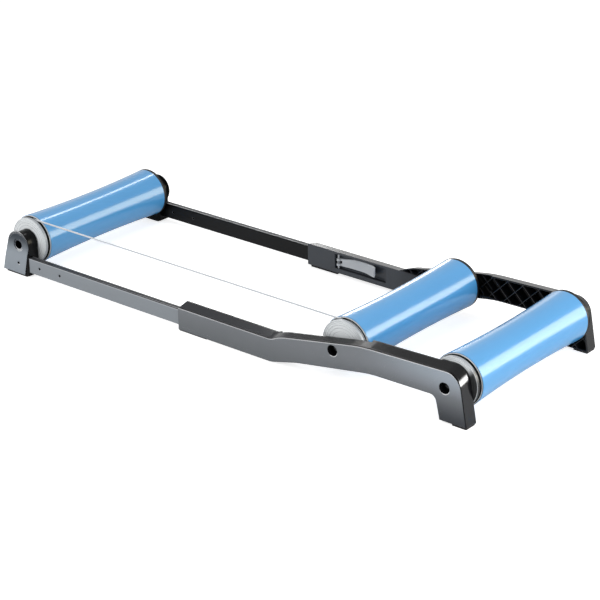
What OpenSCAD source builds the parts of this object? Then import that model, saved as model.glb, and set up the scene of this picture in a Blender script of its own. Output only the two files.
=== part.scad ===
// Training rollers for a bicycle: three free-running rollers between two moulded side frames.
// The front roller rides on two rails that slide into the side frames for storage.
// X runs from the front roller to the rear rollers, Y across, Z up from the floor.

/* [Layout] */
// Distance from the front axle to the middle axle
front_gap = 951; // [940:1:1000]
// Distance from the middle axle to the rear axle
rear_gap = 287; // [270:1:320]
// Height of the three axles above the floor
axle_z = 78; // [76:0.5:84]
// Width over the outer faces of the side frames
overall_w = 490; // [470:1:560]
// Distance from the front axle to the foremost point of the front feet
foot_reach = 57; // [54:0.5:66]
// Distance from the rear axle to the rearmost point of the legs
leg_reach = 55; // [52:0.5:64]

/* [Side frame] */
// Thickness of the side frame across
frame_t = 31; // [30:0.5:36]
// Thickness across at the rear corner and the leg
leg_t = 34; // [32:0.5:38]
// Thickness across beside the middle roller, above the rail
relief_t = 23; // [20:0.5:26]
// Angle by which the upper and lower surfaces rise inboard
draft = 13; // [8:0.5:15]
// Thickness of the outer skin
skin = 3; // [2:0.1:4]
// Thickness of the walls along the upper and lower edges
flange = 3.2; // [2:0.1:4.5]
// Height of the sleeve's lower edge above the floor
sleeve_z = 2.5; // [2:0.1:4]
// Height of the sleeve
sleeve_h = 53; // [51:0.5:58]
// Distance from the middle axle forward to the front face of the sleeve
sleeve_reach = 439; // [420:1:460]
// Distance from the middle axle forward to the bend behind the sleeve
bend_reach = 170; // [150:1:185]
// Length of the steep stretch at the bend
bend_run = 27; // [20:1:40]
// Height of the upper edge where the arch leaves the bend
arch_front_z = 68.2; // [64:0.2:74]
// Height of the upper edge where the arch levels out
arch_mid_z = 108.5; // [104:0.5:114]
// Distance from the middle axle back to the point where the arch levels out
arch_mid_reach = 72; // [60:1:90]
// Height of the upper edge over the rear axle
arch_rear_z = 117; // [114:0.5:122]
// Depth of the arch from its upper to its lower edge
arch_depth = 56; // [50:0.5:60]
// Depth of the arch where it meets the leg
arch_rear_depth = 59; // [54:0.5:64]
// Radius of the rear corner
corner_r = 38; // [30:0.5:42]
// Height of the leg's lower end above the floor
leg_z = 4.3; // [3:0.1:6]
// Width of the leg at its lower end
leg_w = 66; // [56:1:76]
// Distance between neighbouring ribs of the lattice along the frame
rib_pitch = 40; // [28:1:60]
// Thickness of the lattice ribs
rib_t = 2; // [1.4:0.1:3]
// Radius of the recess at each axle end
recess_r = 12.3; // [11:0.1:13]
// Depth of the recess at each axle end
recess_depth = 20; // [12:0.5:21]
// Wall round the recess at each axle end
boss_wall = 4.5; // [3:0.1:6]

/* [Rails and front feet] */
// Width of the rails across
rail_w = 16.5; // [14:0.1:17]
// Height of the rails
rail_h = 38; // [32:0.5:40]
// Height of the rail's underside above the floor
rail_z = 12; // [11:0.1:14]
// Wall thickness of the rails
rail_wall = 1.8; // [1.2:0.1:3]
// Length of rail inside the sleeve when the rollers are pulled out
rail_hold = 206; // [200:1:250]
// Running clearance between a rail and its sleeve
rail_clear = 0.3; // [0.2:0.05:0.6]
// Distance between the holes that set the wheelbase
hole_pitch = 67.5; // [50:0.5:80]
// Radius of the holes that set the wheelbase
hole_r = 3.3; // [3.2:0.1:4]
// Thickness of the front feet across
foot_t = 34; // [32:0.5:36]
// Radius of the front foot's rounded top
foot_r = 35; // [32:0.5:38]
// Radius of the rounded top of the body behind the front foot's face plate
foot_body_r = 30; // [26:0.5:31]
// How far the face plate stands proud of that body
plate_step = 1.6; // [1:0.1:1.8]
// Width of the front foot's face plate at its lower end
foot_w = 74; // [66:1:86]
// Height of the front foot's lower end above the floor
foot_z = 4; // [3:0.1:6]
// Wall thickness of the front feet
foot_wall = 3; // [2:0.1:4]
// Radius of the recess at the front axle's ends
foot_recess_r = 10.5; // [8:0.1:12]
// Width of the shallow ring round that recess
foot_ring_w = 4.3; // [2:0.1:6]

/* [Rollers] */
// Radius of the rollers at their ends
roller_r = 59; // [58:0.5:64]
// Radius of the rollers at their waist
waist_r = 54; // [50:0.5:57]
// Wall thickness of the roller tubes
tube_wall = 3.5; // [2.5:0.1:5]
// Clear space between a roller's end and the frame
roller_gap = 2; // [1:0.1:5]
// Width of the end cap beside the belt ring
cap_w = 8; // [6:0.1:12]
// Radius of that end cap
cap_r = 55.5; // [54:0.1:58]
// Width of the belt ring
ring_w = 6; // [5.2:0.1:9]
// Radius of the belt ring
ring_r = 56.3; // [53.5:0.1:57]
// Width of the flange between the belt ring and the tube
flange_w = 2; // [1.5:0.1:4]
// Radius of that flange
flange_r = 58; // [55:0.1:58]
// Width of the far cap's rim
far_rim_w = 3; // [1.5:0.1:4]
// Radius of the far cap's rim
far_rim_r = 59; // [56:0.1:59]
// Length of cap that plugs into the tube
plug_len = 8; // [6:0.5:20]
// Wall thickness of the caps
cap_wall = 3; // [2:0.1:4]

/* [Axles and bearings] */
// Radius of the axles
axle_r = 5; // [4:0.1:6]
// Outer radius of the bearings
bearing_r = 13; // [11:0.1:16]
// Width of the bearings
bearing_w = 8; // [6:0.1:10]
// Radius of the axle spacers
spacer_r = 8; // [7:0.1:9]
// Radius of the screws' shanks
screw_r = 3; // [2.5:0.1:3.1]
// Radius of the screws' heads
head_r = 5.5; // [4.5:0.1:7]
// Height of the screws' heads
head_h = 6; // [4:0.1:7]
// Width across the flats of the screws' sockets
socket_w = 5; // [3:0.1:6]

/* [Belt] */
// Radius of the round belt
belt_r = 2; // [1.5:0.1:2.3]
// Radius of the belt's centre line round a roller
belt_run_r = 52.5; // [51:0.1:54]

/* [Lock levers] */
// Distance from the sleeve's front face back to the lever's pin
lever_x = 91; // [80:1:100]
// Length of the lever from its pin to its free end
lever_len = 115; // [100:1:120]
// Thickness of the lever's blade
blade_t = 4; // [3:0.1:5]
// How far the free end stands inboard of the rest of the blade
lever_kick = 15; // [10:0.5:20]
// Height of the lever's lower edge above the floor
lever_z = 29; // [29:0.1:31]
// Height of the lever at its pin
lever_root_h = 18; // [17:0.5:20]
// Height of the lever at its free end
lever_tip_h = 27; // [22:0.5:29]
// Radius of the lever's pin
pin_r = 2.5; // [2:0.1:3]
// Radius of the lever's knuckles
knuckle_r = 5; // [4.5:0.1:5.3]
// Radius of the tooth that catches the rail
tooth_r = 4; // [3:0.1:5]

/* [Feet pads] */
// Length of the pads under the sleeves
sleeve_pad_len = 80; // [60:1:100]
// Length of the pads under the legs
leg_pad_len = 35; // [25:1:45]
// Length of the pads under the front feet
foot_pad_len = 68; // [50:1:70]
// How far the pads lie inside the edges above them
pad_inset = 2; // [1:0.1:4]

/* [Hidden] */
$fn = 64;

// Clearance of a seat between pieces that don't move on each other
seat = 0.05;
// Radial clearance of a running fit
run = 0.03;
// Clearance between pieces that pass each other
pass = 0.3;
// Overshoot of a cut past the surface that it opens
cut = 1;

// How far the thicker leg begins behind the start of the rear corner
step_set = 8;
// Thickness of the web that each axle screw clamps against its axle
web_t = 4;
// How far the bearings lie inside the rollers' ends
bearing_set = 2;
// Wall between the lever's pocket and the rail's channel
pocket_wall = 1.7;
// Depth of the tapped holes in the axles, and of the screws in them
tap_depth = 12;
screw_bite = 10;
// Radius of the seat for a cap in each end of a roller tube
seat_r = roller_r - tube_wall - 0.7;

// Places along X, with the whole length centred on the origin
nose_len = max(foot_reach, roller_r);
back_len = max(leg_reach, roller_r);
overall_l = nose_len + front_gap + rear_gap + back_len;
rear_x = overall_l / 2 - back_len;
middle_x = rear_x - rear_gap;
front_x = middle_x - front_gap;
back_x = rear_x + leg_reach;
nose_x = front_x - foot_reach;
sleeve_x = middle_x - sleeve_reach;
bend_x = middle_x - bend_reach;
step_x = rear_x - corner_r + step_set;

// Places across, as distances from the middle plane
half_w = overall_w / 2;
frame_in = half_w - frame_t;
relief_in = half_w - relief_t;
hub_in = half_w - max(leg_t, foot_t, frame_t);
leg_in = half_w - leg_t;
foot_in = half_w - foot_t;
skin_in = half_w - skin;
rail_out = skin_in - rail_clear;
rail_in = rail_out - rail_w;
chan_in = rail_in - rail_clear;
recess_floor = half_w - recess_depth;
axle_end = recess_floor - web_t;
roller_end = hub_in - roller_gap;
cap_in = roller_end - cap_w;
ring_in = cap_in - ring_w;
tube_near = ring_in - flange_w;
tube_far = roller_end - far_rim_w;
bearing_out = roller_end - bearing_set;
bearing_in = bearing_out - bearing_w;
belt_y = cap_in - ring_w / 2;

// The lever's pin and free end
pin_x = sleeve_x + lever_x;
pin_y = chan_in - pocket_wall - pass - knuckle_r;
tip_x = pin_x + lever_len;

// Rails, with the bolt a little in front of the front axle
bolt_lead = 3;
nose_wall = 18;
rail_tail = sleeve_x + rail_hold;
bolt_x = front_x - bolt_lead;
bolt_z = rail_z + rail_h / 2;
rail_nose = nose_x + nose_wall;
foot_body_x = front_x + foot_body_r;
tooth_x = pin_x + lever_len * 2 / 3;
tooth_z = rail_z + rail_h * 3 / 4;

// Outline helpers: points of an arc, a path with rounded corners, and a path drawn in by a wall
function unit(v) = v / norm(v);
function left_of(a, b) = let (u = unit(b - a)) [-u[1], u[0]];
function turn(a, b, c) = let (u = unit(b - a), v = unit(c - b)) atan2(u[0] * v[1] - u[1] * v[0], u * v);
function corner(a, b, c, r, steps) =
    let (
        w = turn(a, b, c),
        s = w < 0 ? -1 : 1,
        start = b - unit(b - a) * r * tan(abs(w) / 2),
        centre = start + left_of(a, b) * r * s,
        from = start - centre
    )
    [for (i = [0 : steps]) let (q = w * i / steps)
        centre + [from[0] * cos(q) - from[1] * sin(q), from[0] * sin(q) + from[1] * cos(q)]];
function rounded(path) =
    let (n = len(path))
    [for (i = [0 : n - 1])
        let (
            a = path[(i + n - 1) % n],
            b = path[i],
            c = path[(i + 1) % n],
            p = [a[0], a[1]], q = [b[0], b[1]], t = [c[0], c[1]],
            steps = max(2, ceil(abs(turn(p, q, t)) / 6))
        )
        each (b[2] > 0 ? corner(p, q, t, b[2], steps) : [q])];
function drawn_in(path, wall) =
    let (n = len(path))
    [for (i = [0 : n - 1])
        let (
            m = left_of(path[(i + n - 1) % n], path[i]),
            k = left_of(path[i], path[(i + 1) % n])
        )
        path[i] + wall * (m + k) / (1 + m * k)];

// The side frame's outline at its outer face: X, Z and corner radius, anticlockwise.
// The leg runs on below its real end, which is cut level later.
leg_run = 12;
back_lean = 0.185;
front_lean = 0.234;
leg_front_x = back_x - leg_w;
// How far the corners of the lower edge lie behind those of the upper one
under_lag = [45, 25];
// The arch's upper edge over those corners, and before the rear corner's arc
over_front_z = arch_front_z + (arch_mid_z - arch_front_z) * under_lag[0] / 215;
over_mid_z = arch_mid_z + 0.9;
over_rear_z = arch_rear_z - 2;
under_front = [bend_x + bend_run + under_lag[0], over_front_z - arch_depth];
under_mid = [middle_x + arch_mid_reach + under_lag[1], over_mid_z - arch_depth];
under_rear_z = over_rear_z - arch_rear_depth;
under_rear = [leg_front_x - (under_rear_z - leg_z) * front_lean, under_rear_z];
frame_corners = [
    [sleeve_x, sleeve_z, 2],
    [bend_x + 1, sleeve_z, 60],
    [under_front[0], under_front[1], 260],
    [under_mid[0], under_mid[1], 240],
    [under_rear[0], under_rear[1], 16],
    [leg_front_x + leg_run * front_lean, leg_z - leg_run, 0],
    [back_x + leg_run * back_lean, leg_z - leg_run, 0],
    [back_x - (arch_rear_z - leg_z) * back_lean, arch_rear_z, corner_r],
    [middle_x + arch_mid_reach, arch_mid_z, 320],
    [bend_x + bend_run, arch_front_z, 110],
    [bend_x, sleeve_z + sleeve_h, 40],
    [sleeve_x, sleeve_z + sleeve_h, 2]
];
frame_path = rounded(frame_corners);
hollow_path = drawn_in(rounded([for (c = frame_corners) [c[0], c[1], c[2] > 2 * flange ? c[2] : 0]]), flange);
level_z = sleeve_z + sleeve_h + 1;

// A prism on an outline in X and Z at the outer face, whose surfaces rise inboard by the draft
module drafted(path) {
    reach = (leg_t + 2 * arch_rear_z * sin(draft)) / cos(draft);
    translate([0, -half_w, 0])
        rotate([90 + draft, 0, 0])
            translate([0, 0, -reach])
                linear_extrude(reach + 2 * leg_run)
                    polygon([for (p = path) [p[0], p[1] * cos(draft)]]);
}

// A block between two places along X, two distances from the middle plane and two heights
module block(x0, x1, in, out, z0, z1) {
    translate([x0, -out, z0])
        cube([x1 - x0, out - in, z1 - z0]);
}

// A cylinder along the axles on the near side, between two distances from the middle plane
module disc(x, z, r, in, out) {
    translate([x, -in, z])
        rotate([90, 0, 0])
            cylinder(r = r, h = out - in);
}

// The straight box of the sleeve, carried on level under the arch, as a rectangle
level_path = [
    [sleeve_x - cut, sleeve_z - leg_run],
    [under_mid[0], sleeve_z - leg_run],
    [under_mid[0], level_z],
    [sleeve_x - cut, level_z]
];

// The frame is thinner between these two places, to clear the middle roller
relief_x = [bend_x + 9, middle_x + 85];

module frame_outside() {
    difference() {
        intersection() {
            drafted(frame_path);
            block(sleeve_x - cut, back_x + leg_run, leg_in, half_w, 0, 2 * arch_rear_z);
        }
        block(sleeve_x - cut, step_x, leg_in - cut, frame_in, -cut, 2 * arch_rear_z);
        difference() {
            block(relief_x[0], relief_x[1], frame_in - cut, relief_in, sleeve_z, 2 * arch_rear_z);
            drafted(level_path);
        }
        block(under_rear[0], back_x + leg_run, leg_in - cut, half_w + cut, -leg_run, leg_z);
    }
}

module frame_hollow() {
    difference() {
        intersection() {
            drafted(hollow_path);
            block(sleeve_x, back_x + leg_run, leg_in - cut, skin_in, leg_z + flange, 2 * arch_rear_z);
        }
        drafted(level_path);
    }
}

// How far before the leg the rail's channel ends
channel_end = 6;
// Height of the upper end of the levers' pins
pin_top = sleeve_z + sleeve_h + 2.5;

// Crossed ribs at 45 degrees, the full depth of the frame
module lattice() {
    rib_run = back_x - bend_x;
    translate([0, -leg_in + cut, 0])
        rotate([90, 0, 0])
            linear_extrude(leg_t - skin + cut)
                for (i = [-1 : ceil(rib_run / rib_pitch)], lean = [-45, 45])
                    translate([bend_x + i * rib_pitch, arch_mid_z / 2])
                        rotate(lean)
                            square([2 * arch_rear_z, rib_t], center = true);
}

module axle_boss(x) {
    disc(x, axle_z, recess_r + boss_wall, hub_in, half_w - cut);
}

module axle_bores(x, r) {
    disc(x, axle_z, r, recess_floor, half_w + cut);
    disc(x, axle_z, screw_r + seat, axle_end - cut, recess_floor + cut);
    disc(x, axle_z, axle_r + seat, hub_in - cut, axle_end);
}

// The pocket round the lever: room before its pin, finger room behind its end, below and above it
pocket_lead = 9;
pocket_tail = 27;
pocket_below = 8;
pocket_above = 1;
tooth_room = 2;

module lever_pocket() {
    block(pin_x - pocket_lead, tip_x + pocket_tail, frame_in - web_t, chan_in - pocket_wall,
        lever_z - pocket_below, lever_z + lever_tip_h + pocket_above);
    disc(tooth_x, tooth_z, tooth_r + tooth_room, frame_in - cut, chan_in + cut);
    translate([pin_x, -pin_y, 0])
        cylinder(r = pin_r + seat, h = pin_top + cut);
}

module side_frame() {
    difference() {
        union() {
            difference() {
                frame_outside();
                frame_hollow();
            }
            intersection() {
                frame_outside();
                frame_hollow();
                lattice();
            }
            intersection() {
                block(sleeve_x, back_x, 0, half_w - cut, 0, arch_rear_z - flange);
                union() {
                    axle_boss(middle_x);
                    axle_boss(rear_x);
                }
            }
        }
        block(sleeve_x - cut, leg_front_x - channel_end, chan_in, skin_in,
            rail_z - rail_clear, rail_z + rail_h + rail_clear);
        axle_bores(middle_x, recess_r);
        axle_bores(rear_x, recess_r);
        lever_pocket();
    }
}

module near_side_frame() {
    color([0.30, 0.31, 0.33])
        side_frame();
}

module far_side_frame() {
    color([0.30, 0.31, 0.33])
        mirror([0, 1, 0])
            side_frame();
}

// A piece on the near side together with its mirror on the far side
module both_sides() {
    children();
    mirror([0, 1, 0])
        children();
}

// How far the pads lie behind the sleeve's front and before the leg's back
pad_set = 1;

module sleeve_pads() {
    color([0.08, 0.08, 0.08])
        both_sides()
            difference() {
                block(sleeve_x + pad_set, sleeve_x + pad_set + sleeve_pad_len, chan_in, half_w - pad_inset, 0, rail_z);
                drafted(frame_path);
            }
}

module leg_pads() {
    color([0.08, 0.08, 0.08])
        both_sides()
            block(back_x - pad_set - leg_pad_len, back_x - pad_set, leg_in + pad_inset, half_w - pad_inset, 0, leg_z);
}

// A steel axle with a tapped hole in each end
module axle(x) {
    color([0.70, 0.71, 0.73])
        difference() {
            disc(x, axle_z, axle_r, -axle_end + seat, axle_end - seat);
            both_sides()
                disc(x, axle_z, screw_r + seat, axle_end - tap_depth, half_w);
        }
}

module middle_axle() {
    axle(middle_x);
}

module rear_axle() {
    axle(rear_x);
}

module front_axle() {
    axle(front_x);
}

// A socket-head screw that stands on the recess floor and runs into the axle
module axle_screw(x) {
    difference() {
        union() {
            disc(x, axle_z, head_r, recess_floor, recess_floor + head_h);
            disc(x, axle_z, screw_r, axle_end - screw_bite, recess_floor + cut);
        }
        socket(x, axle_z, recess_floor + head_h / 2, recess_floor + head_h + cut);
    }
}

// The hexagonal socket of a screw's head
module socket(x, z, in, out) {
    translate([x, -in, z])
        rotate([90, 0, 0])
            cylinder(d = socket_w / cos(30), h = out - in, $fn = 6);
}

module frame_axle_screws() {
    color([0.55, 0.56, 0.58])
        both_sides() {
            axle_screw(middle_x);
            axle_screw(rear_x);
        }
}

module front_axle_screws() {
    color([0.55, 0.56, 0.58])
        both_sides()
            axle_screw(front_x);
}

module axle_spacer(x) {
    difference() {
        disc(x, axle_z, spacer_r, bearing_out + pass, hub_in);
        disc(x, axle_z, axle_r + seat, bearing_out, hub_in + cut);
    }
}

module frame_axle_spacers() {
    color([0.70, 0.71, 0.73])
        both_sides() {
            axle_spacer(middle_x);
            axle_spacer(rear_x);
        }
}

module front_axle_spacers() {
    color([0.70, 0.71, 0.73])
        both_sides()
            axle_spacer(front_x);
}

// Rails and front feet
// The rail's section is a tube with rounded corners and a shallow groove along its top
rail_corner = 2.5;
groove_w = rail_w / 3;
groove_d = rail_wall / 2;
rail_top_wall = rail_wall + groove_d;

module rail_section() {
    difference() {
        polygon(rounded([
            [rail_in, rail_z, rail_corner],
            [rail_out, rail_z, rail_corner],
            [rail_out, rail_z + rail_h, rail_corner],
            [rail_in, rail_z + rail_h, rail_corner]
        ]));
        translate([rail_in + rail_wall, rail_z + rail_wall])
            square([rail_w - 2 * rail_wall, rail_h - rail_wall - rail_top_wall]);
        translate([rail_in + rail_w / 2 - groove_w / 2, rail_z + rail_h - groove_d])
            square([groove_w, rail_wall]);
    }
}

module rail() {
    difference() {
        translate([rail_nose, 0, 0])
            mirror([0, 1, 0])
                rotate([90, 0, 90])
                    linear_extrude(rail_tail - rail_nose)
                        rail_section();
        for (i = [0 : 2])
            disc(bolt_x + i * hole_pitch, bolt_z, hole_r, rail_in - cut, rail_out + cut);
        disc(tooth_x, tooth_z, tooth_r + pass, rail_in - cut, rail_in + rail_wall + cut);
    }
}

module near_rail() {
    color([0.35, 0.36, 0.38])
        rail();
}

module far_rail() {
    color([0.35, 0.36, 0.38])
        mirror([0, 1, 0])
            rail();
}

// A plug in a rail's open end: a shank in the tube and a rim against its end
plug_shank = 8;
plug_rim = 2;
rim_inset = 1.5;

module rail_plugs() {
    color([0.08, 0.08, 0.08])
        both_sides() {
            block(rail_tail - plug_shank, rail_tail, rail_in + rail_wall + seat, rail_out - rail_wall - seat,
                rail_z + rail_wall + seat, rail_z + rail_h - rail_top_wall - seat);
            block(rail_tail, rail_tail + plug_rim, rail_in + rim_inset, rail_out - rim_inset,
                rail_z + rim_inset, rail_z + rail_h - rim_inset);
        }
}

// The front foot's face plate leans in at both sides, from its lower end up to a round top.
// The two angles say where the sides meet the round, measured at the axle from the level.
side_angle = [20, 8];
knee_in = 8.5;
plate_path = [
    [nose_x, foot_z],
    [nose_x + foot_w, foot_z],
    [front_x + foot_r * cos(side_angle[1]), axle_z + foot_r * sin(side_angle[1])],
    [front_x - foot_r * cos(side_angle[0]), axle_z + foot_r * sin(side_angle[0])],
    [nose_x + knee_in, axle_z / 2]
];
// The body behind it takes the rail, and lies a little inside the plate's outline
body_set = 5;
body_path = [
    [nose_x + body_set, foot_z],
    [foot_body_x, foot_z],
    [foot_body_x, axle_z],
    [front_x - foot_body_r, axle_z],
    [nose_x + knee_in + body_set, axle_z / 2]
];
ring_depth = 1;
bolt_clear = 0.2;
bolt_set = 0.5;
foot_pad_set = 10;

module foot_solid(path, r, in, out) {
    disc(front_x, axle_z, r, in, out);
    translate([0, -in, 0])
        rotate([90, 0, 0])
            linear_extrude(out - in)
                polygon(path);
}

module front_foot() {
    plate_in = half_w - plate_step;
    roof_z = rail_z + rail_h + foot_wall;
    difference() {
        union() {
            foot_solid(plate_path, foot_r, plate_in, half_w);
            difference() {
                foot_solid(body_path, foot_body_r, foot_in, plate_in);
                intersection() {
                    foot_solid(drawn_in(body_path, foot_wall), foot_body_r - foot_wall, foot_in - cut, rail_out);
                    block(nose_x, foot_body_x, foot_in - cut, rail_out, roof_z, 2 * axle_z);
                }
            }
            disc(front_x, axle_z, foot_recess_r + foot_wall, foot_in, plate_in);
            for (lean = [0, 60, 120])
                translate([front_x, -foot_in, axle_z])
                    rotate([90, lean, 0])
                        translate([foot_recess_r, -rib_t / 2, 0])
                            cube([foot_body_r - foot_recess_r - foot_wall / 2, rib_t, foot_t - skin]);
        }
        block(rail_nose - seat, foot_body_x + cut, rail_in - seat, rail_out + seat,
            rail_z - seat, rail_z + rail_h + seat);
        disc(front_x, axle_z, foot_recess_r + foot_ring_w, half_w - ring_depth, half_w + cut);
        axle_bores(front_x, foot_recess_r);
        disc(bolt_x, bolt_z, screw_r + bolt_clear, foot_in, half_w + cut);
        disc(bolt_x, bolt_z, head_r + bolt_set, foot_in - cut, foot_in + bolt_set + head_h);
    }
}

module near_front_foot() {
    color([0.35, 0.36, 0.38])
        front_foot();
}

module far_front_foot() {
    color([0.35, 0.36, 0.38])
        mirror([0, 1, 0])
            front_foot();
}

module front_foot_pads() {
    color([0.08, 0.08, 0.08])
        both_sides()
            block(nose_x + foot_pad_set, nose_x + foot_pad_set + foot_pad_len,
                foot_in + pad_inset, half_w - pad_inset, 0, foot_z);
}

module foot_bolts() {
    color([0.55, 0.56, 0.58])
        both_sides()
            difference() {
                union() {
                    disc(bolt_x, bolt_z, head_r, foot_in + bolt_set, foot_in + bolt_set + head_h);
                    disc(bolt_x, bolt_z, screw_r, foot_in + head_h, half_w - 2 * foot_wall + cut);
                }
                socket(bolt_x, bolt_z, foot_in, foot_in + bolt_set + head_h / 2);
            }
}

// Rollers. A roller's surface draws in to its waist along a parabola.
roller_span = tube_near + tube_far;
roller_mid = (tube_far - tube_near) / 2;
slices = 24;
drum_r = belt_run_r - belt_r - 3.5;
function roller_radius(y) = waist_r + (roller_r - waist_r) * pow((y - roller_mid) * 2 / roller_span, 2);

// A shape turned about a roller's axle; its profile holds radius and distance from the middle plane
module turned(x, near = true) {
    translate([x, 0, axle_z])
        rotate([near ? 90 : -90, 0, 0])
            rotate_extrude($fn = 96)
                children();
}

module band(r0, r1, in, out) {
    translate([r0, in])
        square([r1 - r0, out - in]);
}

module roller_tube(x) {
    stations = [for (i = [0 : slices]) -tube_near + roller_span * i / slices];
    color([0.36, 0.61, 0.84])
        turned(x, false)
            difference() {
                polygon(concat(
                    [for (y = stations) [roller_radius(y), y]],
                    [for (i = [slices : -1 : 0])
                        let (y = stations[i]) [min(roller_radius(y) - tube_wall, seat_r), y]]
                ));
                band(0, seat_r, tube_far - plug_len - cut, tube_far + cut);
                band(0, seat_r, -tube_near - cut, -tube_near + plug_len + cut);
            }
}

// The cup in a cap that holds its bearing: a sleeve round the bearing with a lip behind it
cup_wall = cap_wall + 1;
lip_t = 2;
lip_w = 3;
// The belt cap's rim, with a small step at its edge, and the fine rings turned into its face,
// each at its distance inside the cap's edge
rim_w = 5;
rim_step = 0.8;
face_rings = [3, 6.5, 11.5, 18, 26];
face_ring_r = 0.7;

module bearing_cup(end) {
    band(bearing_r, bearing_r + cup_wall, bearing_in - lip_t, end);
    band(bearing_r - lip_w, bearing_r + 1, bearing_in - lip_t, bearing_in);
}

module belt_cap(x) {
    color([0.86, 0.87, 0.89])
        turned(x)
            difference() {
                union() {
                    band(drum_r - cap_wall, seat_r - seat, tube_near - plug_len, tube_near);
                    band(drum_r - cap_wall, flange_r, tube_near, ring_in);
                    band(drum_r - cap_wall, drum_r, ring_in, cap_in);
                    band(bearing_r, cap_r - rim_step, roller_end - cap_wall, roller_end);
                    band(cap_r - rim_w, cap_r, cap_in, roller_end - rim_step);
                    band(drum_r - cap_wall, cap_r, cap_in, cap_in + cap_wall);
                    bearing_cup(roller_end);
                }
                for (inset = face_rings)
                    translate([cap_r - inset, roller_end])
                        circle(r = face_ring_r, $fn = 24);
            }
}

module belt_ring(x) {
    color([0.05, 0.05, 0.06])
        turned(x)
            difference() {
                band(drum_r, ring_r, ring_in, cap_in);
                hull() {
                    translate([belt_run_r, belt_y])
                        circle(r = belt_r + pass, $fn = 24);
                    translate([ring_r + belt_r, belt_y])
                        circle(r = belt_r + pass, $fn = 24);
                }
            }
}

module far_cap(x) {
    color([0.07, 0.07, 0.08])
        turned(x, false) {
            band(bearing_r, far_rim_r, tube_far, roller_end);
            band(seat_r - cap_wall, seat_r - seat, tube_far - plug_len, tube_far);
            bearing_cup(roller_end);
        }
}

// A sealed ball bearing, shown as its rings with the shields set back between them
module bearing(x, near) {
    race = (bearing_r - axle_r) / 4;
    color([0.66, 0.67, 0.69])
        turned(x, near)
            difference() {
                band(axle_r + run, bearing_r, bearing_in, bearing_out);
                band(axle_r + race, bearing_r - race, bearing_out - 0.5, bearing_out + cut);
                band(axle_r + race, bearing_r - race, bearing_in - cut, bearing_in + 0.5);
            }
}

module front_roller_tube() { roller_tube(front_x); }
module front_belt_cap() { belt_cap(front_x); }
module front_belt_ring() { belt_ring(front_x); }
module front_far_cap() { far_cap(front_x); }
module front_near_bearing() { bearing(front_x, true); }
module front_far_bearing() { bearing(front_x, false); }

module middle_roller_tube() { roller_tube(middle_x); }
module middle_belt_cap() { belt_cap(middle_x); }
module middle_belt_ring() { belt_ring(middle_x); }
module middle_far_cap() { far_cap(middle_x); }
module middle_near_bearing() { bearing(middle_x, true); }
module middle_far_bearing() { bearing(middle_x, false); }

module rear_roller_tube() { roller_tube(rear_x); }
module rear_belt_cap() { belt_cap(rear_x); }
module rear_belt_ring() { belt_ring(rear_x); }
module rear_far_cap() { far_cap(rear_x); }
module rear_near_bearing() { bearing(rear_x, true); }
module rear_far_bearing() { bearing(rear_x, false); }

// The round belt in the grooves of the front and middle rollers
module half_loop(x, from) {
    translate([x, -belt_y, axle_z])
        rotate([90, 0, 0])
            rotate([0, 0, from])
                rotate_extrude(angle = 180, $fn = 96)
                    translate([belt_run_r, 0])
                        circle(r = belt_r, $fn = 24);
}

module drive_belt() {
    color([0.93, 0.94, 0.95]) {
        half_loop(front_x, 90);
        half_loop(middle_x, -90);
        for (side = [-1, 1])
            translate([front_x, -belt_y, axle_z + side * belt_run_r])
                rotate([0, 90, 0])
                    cylinder(r = belt_r, h = front_gap, $fn = 24);
    }
}

// Lock levers, sprung towards the rail on upright pins
knuckle_z = lever_z - 1;
blade_y = pin_y + knuckle_r - blade_t / 2;
// The torsion spring sits on the pin in a slot between the lever's two knuckles
wire_r = 0.6;
spring_turns = 4;
spring_r = pin_r + wire_r + 0.6;
spring_leg = 6;
turn_rise = 2 * wire_r + 0.3;
fork_z = knuckle_z + lever_root_h / 2;
fork_h = spring_turns * turn_rise + 2 * wire_r + 2 * pass;
fork_len = 18;
end_r = blade_t / 2 + 0.5;

module lever_plan() {
    bend_len = lever_len * 0.45;
    arc_x = tip_x - bend_len;
    arc_r = (pow(bend_len, 2) + pow(lever_kick, 2)) / (2 * lever_kick);
    translate([pin_x, -pin_y])
        circle(r = knuckle_r);
    translate([pin_x, -blade_y - blade_t / 2])
        square([arc_x - pin_x, blade_t]);
    translate([arc_x, -blade_y + arc_r])
        intersection() {
            difference() {
                circle(r = arc_r + blade_t / 2, $fn = 256);
                circle(r = arc_r - blade_t / 2, $fn = 256);
            }
            translate([0, -arc_r - blade_t])
                square([bend_len, arc_r]);
        }
    translate([tip_x - end_r / 2, -blade_y + lever_kick - end_r / 4])
        circle(r = end_r);
}

module lever_side() {
    top = lever_z + lever_tip_h;
    polygon(rounded([
        [pin_x - knuckle_r - cut, knuckle_z, 0],
        [pin_x + 14, knuckle_z, 20],
        [pin_x + 30, lever_z, 20],
        [tip_x - 10, lever_z, 30],
        [tip_x + 3, lever_z + 4, 5],
        [tip_x + 3, top, 5],
        [pin_x + 45, top - 3, 120],
        [pin_x + 12, knuckle_z + lever_root_h, 12],
        [pin_x - knuckle_r - cut, knuckle_z + lever_root_h, 0]
    ]));
}

module lock_lever() {
    difference() {
        union() {
            intersection() {
                translate([0, 0, knuckle_z])
                    linear_extrude(2 * lever_tip_h)
                        lever_plan();
                translate([0, cut, 0])
                    rotate([90, 0, 0])
                        linear_extrude(half_w)
                            lever_side();
            }
            disc(tooth_x, tooth_z, tooth_r, blade_y, rail_in - pass);
        }
        translate([pin_x, -pin_y, 0])
            cylinder(r = pin_r + run, h = half_w);
        translate([pin_x - fork_len / 2, -half_w, fork_z - fork_h / 2])
            cube([fork_len, half_w, fork_h]);
    }
}

module near_lock_lever() {
    color([0.66, 0.68, 0.70])
        lock_lever();
}

module far_lock_lever() {
    color([0.66, 0.68, 0.70])
        mirror([0, 1, 0])
            lock_lever();
}

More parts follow.
